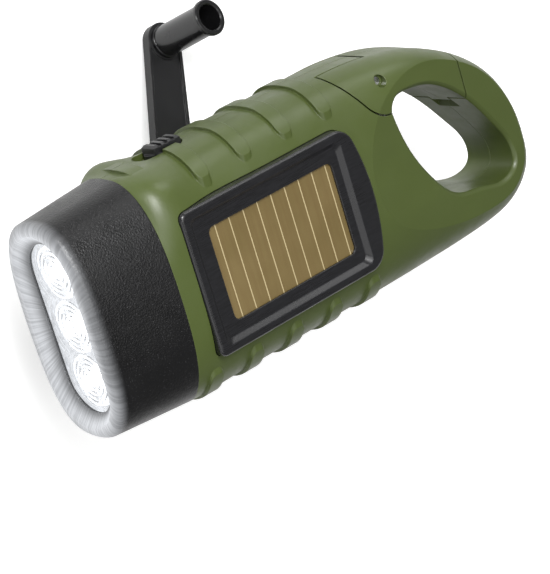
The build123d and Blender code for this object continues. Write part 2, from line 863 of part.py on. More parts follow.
# ------------------------------------------------------------------ switch
def make_slider():
    """The thumb button, with its ridges, its base plate and its stem."""
    floor_y = body_half_width - switch_recess_depth + fit_gap
    top_y = body_half_width + slider_proud
    base = switch_slot(slider_base_length, slider_base_width, floor_y, body_half_width - 0.2)
    button = block(
        -slider_length / 2, slider_length / 2, floor_y, top_y, -slider_width / 2, slider_width / 2
    )
    button = chamfer(button.faces().sort_by(Axis.Y)[-1].edges(), 0.5)
    pitch = slider_length / (slider_ridges + 1)
    for i in range(slider_ridges):
        x = pitch * (i + 1) - slider_length / 2
        button -= block(x - pitch / 4, x + pitch / 4, top_y - 0.6, top_y + 1, -slider_width, slider_width)
    stem = block(
        -slider_stem_length / 2, slider_stem_length / 2, body_half_width - wall - 3.4, floor_y + 0.5,
        -slider_stem_width / 2, slider_stem_width / 2,
    )
    return Pos(slider_rest_x, 0, 0) * (base + button + stem)


def make_switch_can():
    top_y = body_half_width - wall - switch_pad
    low_y = top_y - switch_can_depth
    can = block(
        switch_x - switch_can_length / 2, switch_x + switch_can_length / 2, low_y, top_y,
        -switch_can_height / 2, switch_can_height / 2,
    )
    can -= Pos(slider_rest_x - slider_travel / 2, 0, 0) * switch_slot(
        slider_stem_length + slider_travel + 2 * slider_end_gap, switch_slot_width, low_y + 1.2, top_y + 1
    )
    for i in range(3):
        x = switch_x + (i - 1) * 3.5
        can += block(x - 0.4, x + 0.4, low_y - 2.2, low_y, -0.25, 0.25)
    return can


# ------------------------------------------------------------------ crank
def arm_outline(inset):
    """Plan of the arm along +X from its hinge: a taper with a round end."""
    base = arm_base_width / 2 - inset
    tip = arm_tip_width / 2 - inset
    wire = Wire([
        Line((0, -base), (arm_length, -tip)),
        ThreePointArc((arm_length, -tip), (arm_length + tip, 0), (arm_length, tip)),
        Line((arm_length, tip), (0, base)),
        Line((0, base), (0, -base)),
    ])
    return make_face(wire)


def cylinder_y(x, z, radius, y_low, y_high):
    return Pos(x, (y_low + y_high) / 2, z) * Rot(90, 0, 0) * Cylinder(radius, y_high - y_low)


def place_on_crank(shape, fold):
    """Carry a shape from the arm's own frame to its place on the hub."""
    return Pos(hub_x, hub_y, fold_axis_z) * Rot(0, 0, crank_rest_angle) * Rot(0, fold, 0) * shape


def make_arm():
    half = arm_thickness / 2
    arm = extrude(Pos(0, 0, -half) * arm_outline(0), arm_thickness)
    field = extrude(Pos(0, 0, half - arm_lip_height) * arm_outline(arm_lip_width), arm_lip_height + 1)
    field -= block(-5, arm_window_length + 2, -20, 20, -5, 5)
    field -= disc(arm_length, 0, knob_lip_radius, -5, 5)
    arm -= field
    for side in (1, -1):
        low, high = sorted((side * arm_window_width / 2, side * arm_base_width / 2))
        arm += cylinder_y(0, 0, arm_knuckle_radius, low, high)
    arm -= block(
        -arm_knuckle_radius - 1, arm_window_length, -arm_window_width / 2, arm_window_width / 2, -9, 9
    )
    arm -= cylinder_y(0, 0, arm_pin_radius + pin_running_gap, -arm_base_width, arm_base_width)
    arm -= disc(arm_length, 0, knob_screw_radius, -half + 0.4, half + 1)
    return place_on_crank(arm, arm_rest_fold)


def make_arm_pin():
    reach = arm_base_width / 2 + 0.2
    return place_on_crank(cylinder_y(0, 0, arm_pin_radius, -reach, reach), 0)


def make_knob():
    base = arm_thickness / 2 + knob_arm_gap
    top = base + knob_length
    knob = disc(arm_length, 0, knob_radius, base, top)
    knob += disc(arm_length, 0, knob_lip_radius, top - knob_lip_length, top)
    knob += disc(arm_length, 0, knob_radius + 0.25, base, base + 0.8)
    knob -= disc(arm_length, 0, knob_bore_radius, base + knob_floor, top + 1)
    knob -= disc(arm_length, 0, knob_screw_radius + pin_running_gap, base - 1, top)
    knob = chamfer(knob.faces().sort_by(Axis.Z)[-1].edges(), 0.25)
    return place_on_crank(knob, arm_rest_fold)


def make_knob_screw():
    half = arm_thickness / 2
    head_z = half + knob_arm_gap + knob_floor + fit_gap
    screw = disc(arm_length, 0, knob_screw_radius, -half + 0.4, head_z + 0.1)
    screw += disc(arm_length, 0, knob_screw_head_radius, head_z, head_z + knob_screw_head_height)
    top = head_z + knob_screw_head_height
    for length, width in ((3.0, 0.6), (0.6, 3.0)):
        screw -= Pos(arm_length, 0, top) * Box(length, width, 1.2)
    return place_on_crank(screw, arm_rest_fold)


def make_hub():
    """The turning disc in the crank's recess, with the lug that carries the arm's hinge pin."""
    hub = disc(0, 0, hub_radius, hub_top_z, hub_bottom_z)
    hub = chamfer(hub.edges().sort_by(Axis.Z)[0], 0.4)
    lug = Pos(0, 0, (fold_axis_z - lug_rise + hub_top_z) / 2) * Box(
        lug_length, lug_width, hub_top_z - fold_axis_z + lug_rise
    )
    hub += chamfer(lug.faces().sort_by(Axis.Z)[0].edges(), 0.5)
    hub -= Pos(0, 0, fold_axis_z) * cylinder_y(0, 0, arm_pin_radius, -lug_width, lug_width)
    hub -= disc(0, 0, shaft_radius, hub_top_z + 0.5, hub_bottom_z)
    return Pos(hub_x, hub_y, 0) * Rot(0, 0, crank_rest_angle) * hub


# ------------------------------------------------------------------ gear train
def gear(teeth, width, bore, phase):
    """A spur gear with its first tooth at the phase angle, its base at Z 0."""
    pitch_radius = gear_module * teeth / 2
    base_radius = pitch_radius * cos(radians(pressure_angle))
    tip_radius = pitch_radius + addendum_factor * gear_module
    root_radius = pitch_radius - dedendum_factor * gear_module
    half_tooth = (pi * gear_module / 2 - tooth_backlash) / (2 * pitch_radius)
    involute_at_pitch = tan(radians(pressure_angle)) - radians(pressure_angle)

    def flank_angle(radius):
        """Half the tooth's angle at a radius, on the involute or straight below its base."""
        if radius <= base_radius:
            return half_tooth + involute_at_pitch
        at = acos(base_radius / radius)
        return half_tooth + involute_at_pitch - (tan(at) - at)

    middle_radius = (max(base_radius, root_radius) + tip_radius) / 2
    edges = []
    for i in range(teeth):
        centre = radians(phase) + 2 * pi * i / teeth
        nxt = centre + 2 * pi / teeth

        def at(radius, angle):
            return (radius * cos(angle), radius * sin(angle))

        root_a, mid_a, tip_a = (flank_angle(r) for r in (root_radius, middle_radius, tip_radius))
        edges.append(ThreePointArc(
            at(root_radius, centre - root_a), at(middle_radius, centre - mid_a), at(tip_radius, centre - tip_a)
        ))
        edges.append(Line(at(tip_radius, centre - tip_a), at(tip_radius, centre + tip_a)))
        edges.append(ThreePointArc(
            at(tip_radius, centre + tip_a), at(middle_radius, centre + mid_a), at(root_radius, centre + root_a)
        ))
        edges.append(Line(at(root_radius, centre + root_a), at(root_radius, nxt - root_a)))
    body = extrude(make_face(Wire(edges)), width)
    return body - disc(0, 0, bore, -1, width + 1)


def mesh_phase(phase, teeth, direction, next_teeth):
    """First-tooth angle of the next gear, so that it meshes with this one along a direction."""
    return direction + 180 - (phase - direction) * teeth / next_teeth - 180 / next_teeth


phase_first_pinion = mesh_phase(0, drive_teeth, 0, small_pinion_teeth)
phase_second_pinion = mesh_phase(0, first_wheel_teeth, second_axle_direction, small_pinion_teeth)
phase_rotor_pinion = mesh_phase(0, second_wheel_teeth, rotor_direction, rotor_pinion_teeth)


def at_axis(axis, z, shape):
    return Pos(axis[0], axis[1], z) * shape


def make_drive_gear():
    wheel = gear(drive_teeth, drive_gear_width, shaft_radius, 0)
    for i in range(5):
        x, y = polar((0, 0), 8.4, 72 * i + 36)
        wheel -= disc(x, y, 2.4, -1, drive_gear_width + 1)
    return at_axis(drive_axis, drive_gear_z, wheel)


def make_first_gear():
    bore = axle_radius + pin_running_gap
    pinion = gear(small_pinion_teeth, drive_gear_width + gear_step_gap, bore, phase_first_pinion)
    wheel = gear(first_wheel_teeth, wheel_width, bore, 0)
    return at_axis(first_axis, drive_gear_z, pinion + Pos(0, 0, drive_gear_width + gear_step_gap) * wheel)


def make_second_gear():
    bore = axle_radius + pin_running_gap
    pinion = gear(small_pinion_teeth, wheel_width + gear_step_gap, bore, phase_second_pinion)
    wheel = gear(second_wheel_teeth, wheel_width, bore, 0)
    return at_axis(second_axis, first_wheel_z, pinion + Pos(0, 0, wheel_width + gear_step_gap) * wheel)


def make_rotor_pinion():
    return at_axis(rotor_axis, second_wheel_z, gear(
        rotor_pinion_teeth, wheel_width, axle_radius, phase_rotor_pinion
    ))


def make_axle(axis, z_low):
    return disc(axis[0], axis[1], axle_radius, z_low, plate_top_z)


def make_gear_plate():
    plate = block(plate_front_x, plate_rear_x, -plate_half_width, plate_half_width, plate_z, plate_top_z)
    plate = fillet(plate.edges().filter_by(Axis.Z), 2.0)
    for x, y in plate_posts():
        plate -= disc(x, y, small_screw_radius + 0.1, plate_z - 1, plate_top_z + 1)
    plate -= disc(*drive_axis, shaft_radius + pin_running_gap, plate_z - 1, plate_top_z + 1)
    for axis in (first_axis, second_axis):
        plate -= disc(*axis, axle_radius + 0.02, plate_z - 1, plate_top_z + 1)
    plate -= disc(*rotor_axis, axle_radius + 1.2, plate_z - 1, plate_top_z + 1)
    for side in (1, -1):
        edge = battery_x + side * (battery_radius + fit_gap)
        low, high = sorted((edge, edge + side * 1.4))
        plate += block(low, high, -battery_length / 2 + 5, battery_length / 2 - 5, plate_top_z, plate_top_z + 6.2)
    return plate


def make_generator_can():
    x, y = rotor_axis
    can = disc(x, y, generator_radius, plate_top_z, plate_top_z + generator_height)
    can -= disc(
        x, y, generator_radius - generator_wall, plate_top_z + generator_wall,
        plate_top_z + generator_height - generator_wall,
    )
    can -= disc(x, y, axle_radius + pin_running_gap, plate_top_z - 1, plate_top_z + generator_height + 1)
    return can


def make_stator():
    """The coil on its bobbin, around the rotor."""
    x, y = rotor_axis
    outer = generator_radius - generator_wall
    low, high = plate_top_z + generator_wall, plate_top_z + generator_height - generator_wall
    stator = ring(x, y, stator_inner_radius, outer, low, high)
    return stator - ring(x, y, outer - 1.2, outer + 1, low + 1.0, high - 1.0)


def make_rotor():
    x, y = rotor_axis
    middle = plate_top_z + generator_height / 2
    return ring(x, y, axle_radius, rotor_radius, middle - rotor_height / 2, middle + rotor_height / 2)


def make_rotor_shaft():
    return disc(*rotor_axis, axle_radius, second_wheel_z, plate_top_z + generator_height - 0.3)


def make_drive_shaft():
    return disc(*drive_axis, shaft_radius, hub_top_z + 0.5, plate_top_z - 0.1)


def make_shaft_clip():
    z = drive_gear_z + drive_gear_width
    clip = ring(*drive_axis, shaft_radius, shaft_radius + 1.6, z, z + 0.6)
    return clip - block(hub_x - 1.2, hub_x + 1.2, hub_y, hub_y + 9, z - 1, z + 2)


def make_bush():
    bush = disc(*drive_axis, bush_radius, hub_recess_floor_z, bush_inner_z)
    bush += disc(*drive_axis, bush_flange_radius, bush_inner_z, bush_inner_z + bush_flange_thickness)
    return bush - disc(*drive_axis, shaft_radius + pin_running_gap, hub_recess_floor_z - 1, bush_inner_z + 2)


# ------------------------------------------------------------------ electrics
def make_battery():
    z = plate_top_z + battery_radius
    battery = cylinder_y(battery_x, z, battery_radius, -battery_length / 2, battery_length / 2)
    for i in (1, 2):
        y = battery_length * (i / 3 - 0.5)
        groove = cylinder_y(battery_x, z, battery_radius + 1, y - 0.2, y + 0.2)
        battery -= groove - cylinder_y(battery_x, z, battery_radius - 0.25, y - 1, y + 1)
    return battery


def make_main_board():
    board = block(board_front_x, board_rear_x, -board_half_width, board_half_width, board_z, board_z + board_thickness)
    for x, y in board_posts():
        board -= disc(x, y, small_screw_radius + 0.1, board_z - 1, board_z + board_thickness + 1)
    top = board_z + board_thickness
    board += block(board_front_x + 8, board_front_x + 13, 3, 8, top, top + 1.0)
    board += block(board_front_x + 16, board_front_x + 20, -8, -2, top, top + 0.9)
    return board


def make_shell_screws():
    screws = []
    for x, y in screw_places:
        screw = disc(x, y, shell_screw_radius, screw_seat_z - 0.1, screw_tip_z)
        screw += disc(x, y, shell_screw_head_radius, screw_seat_z - shell_screw_head_height, screw_seat_z)
        for length, width in ((2.4, 0.5), (0.5, 2.4)):
            screw -= Pos(x, y, screw_seat_z - shell_screw_head_height) * Box(length, width, 1.0)
        screws.append(screw)
    return screws


def make_small_screws(places, seat_z, direction):
    """Short screws with a low head on the seat and a shank beyond it."""
    screws = []
    for x, y in places:
        head_low, head_high = sorted((seat_z, seat_z - direction * 0.9))
        shank_low, shank_high = sorted((seat_z, seat_z + direction * (board_thickness + 1.6)))
        screw = disc(x, y, 2 * small_screw_radius, head_low, head_high)
        screw += disc(x, y, small_screw_radius, shank_low, shank_high)
        screws.append(screw)
    return screws


def round_wire(*points):
    """An insulated wire along straight runs with rounded corners."""
    path = FilletPolyline(*points, radius=wire_bend)
    profile = Plane(path @ 0, z_dir=path % 0) * Circle(wire_radius)
    return sweep(profile, path)


def make_gate_pin():
    end = gate_pin_end_z()
    return disc(gate_pin_x, gate_pin_y, gate_pin_radius, -end, end)


# ------------------------------------------------------------------ assembly
def make_parts():
    """Every node by name, in the frame of the lens end."""
    blank = body_blank()
    solar_shell, crank_shell = make_shells(blank)
    gate_upper, gate_lower = halves(make_gate(blank))
    led_left, led_centre, led_right = [make_led(y) for y in led_places()]
    top_of_posts = plate_top_z
    return {
        "solar_side_shell": solar_shell,
        "crank_side_shell": crank_shell,
        "head_bezel": make_head(),
        "front_lens": make_lens(),
        "reflector": make_reflector(),
        "led_left": led_left,
        "led_centre": led_centre,
        "led_right": led_right,
        "led_board": make_led_board(),
        "solar_frame": make_solar_frame(),
        "solar_cell": make_solar_cell(),
        "gate_solar_half": gate_upper,
        "gate_crank_half": gate_lower,
        "gate_pin": make_gate_pin(),
        "gate_spring": make_gate_spring(),
        "switch_slider": make_slider(),
        "slide_switch": make_switch_can(),
        "crank_hub": make_hub(),
        "crank_bush": make_bush(),
        "drive_shaft": make_drive_shaft(),
        "drive_gear": make_drive_gear(),
        "shaft_clip": make_shaft_clip(),
        "crank_arm": make_arm(),
        "arm_hinge_pin": make_arm_pin(),
        "crank_knob": make_knob(),
        "knob_screw": make_knob_screw(),
        "first_gear": make_first_gear(),
        "first_axle": make_axle(first_axis, axle_foot_z),
        "second_gear": make_second_gear(),
        "second_axle": make_axle(second_axis, axle_foot_z),
        "gear_plate": make_gear_plate(),
        "plate_screws": make_small_screws(plate_posts(), top_of_posts, -1),
        "generator_can": make_generator_can(),
        "generator_stator": make_stator(),
        "generator_rotor": make_rotor(),
        "rotor_shaft": make_rotor_shaft(),
        "rotor_pinion": make_rotor_pinion(),
        "battery": make_battery(),
        "main_board": make_main_board(),
        "board_screws": make_small_screws(board_posts(), board_z, 1),
        "shell_screws": make_shell_screws(),
    }


def main():
    os.makedirs("parts", exist_ok=True)
    parts = {}
    for name, made in make_parts().items():
        solids = [s for piece in (made if isinstance(made, list) else [made]) for s in piece.solids()]
        parts[name] = Compound(children=solids) if len(solids) > 1 else solids[0]
    boxes = [shape.bounding_box() for shape in parts.values()]
    middle_x = (min(box.min.X for box in boxes) + max(box.max.X for box in boxes)) / 2
    middle_y = (min(box.min.Y for box in boxes) + max(box.max.Y for box in boxes)) / 2
    stand = Pos(-middle_x, -middle_y, -min(box.min.Z for box in boxes))
    for name, shape in parts.items():
        export_step(stand * shape, f"parts/{name}.step")
    print("origin from the lens end:", stand.position)


if __name__ == "__main__":
    main()
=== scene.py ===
import bpy
from mathutils import Matrix, Vector

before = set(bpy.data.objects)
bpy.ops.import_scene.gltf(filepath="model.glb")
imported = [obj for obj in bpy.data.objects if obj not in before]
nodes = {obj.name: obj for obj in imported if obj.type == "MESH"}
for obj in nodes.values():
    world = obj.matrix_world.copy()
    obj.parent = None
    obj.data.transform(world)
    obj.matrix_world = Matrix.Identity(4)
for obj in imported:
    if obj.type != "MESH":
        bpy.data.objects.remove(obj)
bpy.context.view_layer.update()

# The lens end of the torch's centre line, in the row frame, in metres.
LENS_END = Vector((-0.0677497, -0.0100498, 0.0360447))


def place(x, y, z):
    """A point given in millimetres from the lens end."""
    return LENS_END + Vector((x, y, z)) / 1000


# ------------------------------------------------------------------ shader helpers
class Shader:
    """A Principled material that is built up node by node."""

    def __init__(self, name, **values):
        self.material = bpy.data.materials.new(name)
        self.material.use_nodes = True
        self.tree = self.material.node_tree
        self.principled = self.tree.nodes["Principled BSDF"]
        self.coords = self.add("ShaderNodeTexCoord").outputs["Object"]
        for key, value in values.items():
            self.principled.inputs[key.replace("_", " ")].default_value = value

    def add(self, kind, **settings):
        node = self.tree.nodes.new(kind)
        for key, value in settings.items():
            setattr(node, key, value)
        return node

    def feed(self, socket, value):
        """Links an output, or sets a plain value."""
        if isinstance(value, bpy.types.NodeSocket):
            self.tree.links.new(value, socket)
        else:
            socket.default_value = value

    def set(self, key, value):
        self.feed(self.principled.inputs[key], value)

    def math(self, operation, *values, clamp=False):
        node = self.add("ShaderNodeMath", operation=operation, use_clamp=clamp)
        for socket, value in zip(node.inputs, values):
            self.feed(socket, value)
        return node.outputs[0]

    def ramp(self, value, low, high, start=0.0, end=1.0):
        """Maps low..high to start..end, smoothly and clamped."""
        node = self.add("ShaderNodeMapRange", interpolation_type="SMOOTHSTEP")
        self.feed(node.inputs[0], value)
        for socket, number in zip(list(node.inputs)[1:5], (low, high, start, end)):
            socket.default_value = number
        return node.outputs[0]

    def mix(self, share, a, b):
        """Colour a where share is nothing, colour b where it is one."""
        node = self.add("ShaderNodeMix", data_type="RGBA", blend_type="MIX")
        self.feed(node.inputs["Factor"], share)
        colours = [socket for socket in node.inputs if socket.type == "RGBA"]
        for socket, value in zip(colours, (a, b)):
            self.feed(socket, value)
        return [socket for socket in node.outputs if socket.type == "RGBA"][0]

    def stretched(self, scale, rotation=(0, 0, 0)):
        """The object's coordinates, scaled and turned."""
        node = self.add("ShaderNodeMapping")
        self.feed(node.inputs["Vector"], self.coords)
        node.inputs["Scale"].default_value = scale
        node.inputs["Rotation"].default_value = rotation
        return node.outputs[0]

    def noise(self, per_mm, detail=3.0, roughness=0.55, stretch=(1, 1, 1)):
        """Noise with about per_mm features in a millimetre."""
        node = self.add("ShaderNodeTexNoise")
        self.feed(node.inputs["Vector"], self.stretched(stretch))
        node.inputs["Scale"].default_value = per_mm * 1000
        node.inputs["Detail"].default_value = detail
        node.inputs["Roughness"].default_value = roughness
        return node.outputs["Fac"]

    def cells(self, per_mm):
        """Round cells, about per_mm of them in a millimetre."""
        node = self.add("ShaderNodeTexVoronoi", feature="F1")
        self.feed(node.inputs["Vector"], self.stretched((1, 1, 1)))
        node.inputs["Scale"].default_value = per_mm * 1000
        return node

    def axes(self):
        """X, Y and Z in millimetres from the lens end."""
        node = self.add("ShaderNodeSeparateXYZ")
        self.feed(node.inputs[0], self.coords)
        out = []
        for socket, start in zip(node.outputs, LENS_END):
            out.append(self.math("MULTIPLY", self.math("SUBTRACT", socket, start), 1000.0))
        return out

    def bump(self, height, strength, distance, under=None):
        node = self.add("ShaderNodeBump")
        self.feed(node.inputs["Height"], height)
        node.inputs["Strength"].default_value = strength
        node.inputs["Distance"].default_value = distance
        if under is not None:
            self.feed(node.inputs["Normal"], under)
        return node.outputs[0]

    def edge(self, radius_mm):
        """A mask that is one along sharp edges and nothing on open faces, and the softened normal."""
        bevel = self.add("ShaderNodeBevel", samples=4)
        bevel.inputs["Radius"].default_value = radius_mm / 1000
        plain = self.add("ShaderNodeNewGeometry").outputs["Normal"]
        dot = self.add("ShaderNodeVectorMath", operation="DOT_PRODUCT")
        self.feed(dot.inputs[0], bevel.outputs[0])
        self.feed(dot.inputs[1], plain)
        turned_away = self.math("SUBTRACT", 1.0, dot.outputs["Value"])
        return self.ramp(turned_away, 0.02, 0.25), bevel.outputs[0]


def srgb(r, g, b):
    """A colour from 0..255 screen values to the shader's linear ones."""
    out = []
    for value in (r, g, b):
        v = value / 255
        out.append(v / 12.92 if v <= 0.04045 else ((v + 0.055) / 1.055) ** 2.4)
    return (*out, 1.0)


# ------------------------------------------------------------------ materials
MOULDED_CORNER_MM = 0.25
METAL_CORNER_MM = 0.12
FRAME_CORNER_MM = 0.45


def moulded(name, colour, roughness, grain=6.0, grain_height=0.000012, spread=0.12, worn=None, coat=0.0):
    """Moulded plastic: fine spark-eroded grain, flow marks, handling polish and softened edges."""
    s = Shader(name)
    flow = s.noise(0.035, detail=4, stretch=(0.5, 1, 1))
    smudge = s.noise(0.12, detail=6, roughness=0.7)
    fine = s.noise(grain, detail=2, roughness=0.6)
    specks = s.cells(1.3).outputs["Distance"]
    dark = tuple(c * (1 - spread) for c in colour[:3]) + (1.0,)
    light = tuple(min(1.0, c * (1 + spread)) for c in colour[:3]) + (1.0,)
    base = s.mix(s.ramp(flow, 0.35, 0.65), dark, light)
    base = s.mix(s.ramp(specks, 0.0, 0.06, 0.25, 0.0), base, light)
    worn_edge, soft = s.edge(MOULDED_CORNER_MM)
    if worn is not None:
        base = s.mix(s.math("MULTIPLY", worn_edge, s.ramp(smudge, 0.35, 0.7, 0.1, 0.7)), base, worn)
    s.set("Base Color", base)
    rough = s.ramp(smudge, 0.3, 0.75, roughness - 0.06, roughness + 0.09)
    s.set("Roughness", s.math("SUBTRACT", rough, s.math("MULTIPLY", worn_edge, 0.1), clamp=True))
    s.set("Specular IOR Level", 0.5)
    s.set("Coat Weight", coat)
    s.set("Coat Roughness", 0.25)
    scratch = s.add("ShaderNodeTexNoise")
    s.feed(scratch.inputs["Vector"], s.stretched((0.06, 1.0, 1.0), rotation=(0.3, 0.2, 0.7)))
    scratch.inputs["Scale"].default_value = 2600.0
    scratch.inputs["Detail"].default_value = 2.0
    hair = s.math("MULTIPLY", s.ramp(scratch.outputs["Fac"], 0.68, 0.74), s.ramp(smudge, 0.5, 0.7))
    s.set("Roughness", s.math("ADD", s.principled.inputs["Roughness"].links[0].from_socket,
                              s.math("MULTIPLY", hair, 0.12)))
    normal = s.bump(fine, 0.5, grain_height, under=soft)
    normal = s.bump(hair, 0.2, 0.00001, under=normal)
    normal = s.bump(flow, 0.25, 0.00025, under=normal)
    s.set("Normal", normal)
    return s


def metal(name, colour, roughness, stretch=(1, 1, 1), worn=0.0):
    """Machined or drawn metal: fine directional lines, finger marks and slightly softened edges."""
    s = Shader(name, Metallic=1.0)
    lines = s.noise(9.0, detail=3, stretch=stretch)
    marks = s.noise(0.4, detail=6, roughness=0.7)
    soft = s.edge(METAL_CORNER_MM)[1]
    dark = tuple(c * 0.72 for c in colour[:3]) + (1.0,)
    base = s.mix(s.ramp(marks, 0.35, 0.7, 0.0, 0.6 + worn), colour, dark)
    s.set("Base Color", base)
    s.set("Roughness", s.math("ADD", s.ramp(marks, 0.3, 0.7, roughness - 0.07, roughness + 0.1),
                              s.ramp(lines, 0.3, 0.7, 0.0, 0.08)))
    s.set("Normal", s.bump(lines, 0.3, 0.00001, under=soft))
    return s


GREEN = srgb(72, 84, 38)

green = moulded("green_shell", GREEN, 0.42, grain=5.0, spread=0.06, worn=srgb(112, 124, 72), coat=0.1)
arm_black = moulded("arm_black", srgb(30, 30, 31), 0.34, grain=7.0, worn=srgb(92, 92, 92))
knob_black = moulded("knob_black", srgb(20, 20, 21), 0.2, grain=7.0, grain_height=0.000006,
                     worn=srgb(60, 60, 60), coat=0.4)
switch_black = moulded("switch_black", srgb(28, 28, 29), 0.4, grain=8.0, worn=srgb(75, 75, 75))
grey_plastic = moulded("grey_plastic", srgb(92, 93, 96), 0.5)
gear_white = moulded("gear_white", srgb(222, 219, 205), 0.45, spread=0.04)
board_green = moulded("board_green", srgb(28, 92, 48), 0.35, spread=0.1)
battery_wrap = moulded("battery_wrap", srgb(38, 88, 140), 0.25, coat=0.4)
bright_steel = metal("bright_steel", srgb(205, 205, 208), 0.2)
drawn_wire = metal("drawn_wire", srgb(160, 160, 165), 0.3)
zinc = metal("zinc_plate", srgb(180, 184, 190), 0.35, worn=0.2)
cut_brass = metal("cut_brass", srgb(214, 178, 104), 0.28)
copper = metal("varnished_copper", srgb(190, 112, 66), 0.3, stretch=(0.2, 1, 1))
magnet = metal("magnet", srgb(70, 70, 74), 0.5)


def brushed_frame():
    """Black satin frame with faint strokes along it and a painted highlight along its edges."""
    s = Shader("solar_frame_black")
    strokes = s.noise(3.2, detail=5, roughness=0.7, stretch=(0.08, 1, 1))
    grain = s.noise(5.0, detail=2)
    cloud = s.noise(0.06, detail=4)
    edge, soft = s.edge(FRAME_CORNER_MM)
    base = s.mix(s.ramp(strokes, 0.35, 0.7), srgb(17, 17, 19), srgb(27, 27, 30))
    # Painted highlight: every sharp edge of the frame gets a lighter grey, standing in for light caught on its
    # rounded rims.
    base = s.mix(s.math("MULTIPLY", edge, 0.45), base, srgb(74, 75, 80))
    s.set("Base Color", base)
    s.set("Roughness", s.math("ADD", s.ramp(strokes, 0.3, 0.7, 0.26, 0.33),
                              s.ramp(cloud, 0.35, 0.65, -0.03, 0.05)))
    s.set("Coat Weight", 0.35)
    s.set("Coat Roughness", 0.15)
    s.set("Normal", s.bump(s.math("ADD", strokes, grain), 0.16, 0.000016, under=soft))
    return s


# The cell's conductor lines, in millimetres: the first one from the lens end, and their spacing.
CELL_LINE_START = 35.6
CELL_LINE_PITCH = 4.07


def amber_cell():
    """A laminated amorphous cell: a tan film with thin pale conductor lines under a clear sheet."""
    s = Shader("solar_amber")
    x, y = s.axes()[:2]
    steps = s.math("DIVIDE", s.math("SUBTRACT", x, CELL_LINE_START), CELL_LINE_PITCH)
    offset = s.math("ABSOLUTE", s.math("SUBTRACT", steps, s.math("ROUND", steps)))
    line = s.ramp(offset, 0.022, 0.045, 1.0, 0.0)
    inside = s.ramp(s.math("ABSOLUTE", y), 10.85, 11.0, 1.0, 0.0)
    line = s.math("MULTIPLY", line, inside)
    film = s.noise(0.05, detail=4)
    fibre = s.noise(1.2, detail=3, stretch=(1, 0.06, 1))
    flake = s.cells(2.5).outputs["Distance"]
    base = s.mix(s.ramp(film, 0.3, 0.7), srgb(108, 92, 54), srgb(118, 101, 62))
    base = s.mix(s.ramp(fibre, 0.35, 0.7, 0.0, 0.25), base, srgb(100, 78, 44))
    base = s.mix(s.ramp(flake, 0.0, 0.12, 0.2, 0.0), base, srgb(176, 148, 100))
    base = s.mix(line, base, srgb(186, 170, 130))
    # Painted shade: the cell turns almost black along its long edges, under the frame's rim, where the gap beside
    # the window lies in shade.
    painted_gap_shade = s.ramp(s.math("ABSOLUTE", y), 11.2, 11.45, 0.0, 1.0)
    base = s.mix(painted_gap_shade, base, srgb(38, 30, 22))
    s.set("Base Color", base)
    s.set("Roughness", s.ramp(film, 0.3, 0.7, 0.28, 0.4))
    s.set("Coat Weight", 0.6)
    s.set("Coat Roughness", 0.12)
    s.set("Normal", s.bump(s.math("ADD", line, s.math("MULTIPLY", fibre, 0.2)), 0.25, 0.00004))
    return s


# The lamps' spacing across the head, in millimetres.
LED_PITCH = 12.7


def from_lamp_axis(s):
    """Distance in millimetres from the nearest lamp's axis."""
    y, z = s.axes()[1:]
    steps = s.math("DIVIDE", y, LED_PITCH)
    nearest = s.math("MULTIPLY", s.math("SUBTRACT", steps, s.math("ROUND", steps)), LED_PITCH)
    return s.math("SQRT", s.math("ADD", s.math("POWER", nearest, 2.0), s.math("POWER", z, 2.0)))


def metallised():
    """Vacuum-metallised plastic with faint turned rings around each lamp, and a painted glow that is brightest near
    each lamp's axis.
    """
    s = Shader("reflector_bright_painted_glow", Metallic=1.0)
    away = from_lamp_axis(s)
    rings = s.math("SINE", s.math("MULTIPLY", away, 9.0))
    dust = s.noise(0.8, detail=5)
    s.set("Base Color", s.mix(s.ramp(dust, 0.4, 0.75, 0.0, 0.4), srgb(240, 241, 243), srgb(206, 208, 212)))
    s.set("Roughness", s.ramp(dust, 0.3, 0.7, 0.12, 0.26))
    s.set("Normal", s.bump(rings, 0.35, 0.00006))
    # Painted glow: the reflector gives off its own white light, strongest near each lamp and fading outwards,
    # standing in for the lamp light it would reflect.
    s.set("Emission Color", (1.0, 1.0, 1.0, 1.0))
    s.set("Emission Strength", s.ramp(away, 1.0, 6.5, 0.9, 0.25))
    return s


def lens_clear():
    """A clear acrylic window with moulded rings in front of each lamp."""
    s = Shader("lens_clear")
    away = from_lamp_axis(s)
    rings = s.math("SINE", s.math("MULTIPLY", away, 5.2))
    dust = s.noise(0.9, detail=5)
    s.set("Base Color", (0.97, 0.985, 1.0, 1.0))
    s.set("Transmission Weight", 1.0)
    s.set("IOR", 1.47)
    s.set("Roughness", s.ramp(dust, 0.35, 0.8, 0.02, 0.14))
    s.set("Normal", s.bump(rings, 0.25, 0.00012))
    return s


def lamp_clear():
    """A lit 5 mm lamp: white-hot in the middle, clear at its rim."""
    s = Shader("led_lit")
    away = from_lamp_axis(s)
    swirl = s.noise(0.5, detail=3)
    s.set("Base Color", s.mix(s.ramp(swirl, 0.3, 0.7), srgb(236, 240, 246), srgb(248, 248, 240)))
    s.set("Roughness", s.ramp(swirl, 0.3, 0.7, 0.05, 0.14))
    s.set("Emission Color", srgb(250, 252, 255))
    s.set("Emission Strength", s.ramp(away, 0.6, 2.5, 7.0, 2.2))
    s.set("Normal", s.bump(swirl, 0.2, 0.0001))
    return s


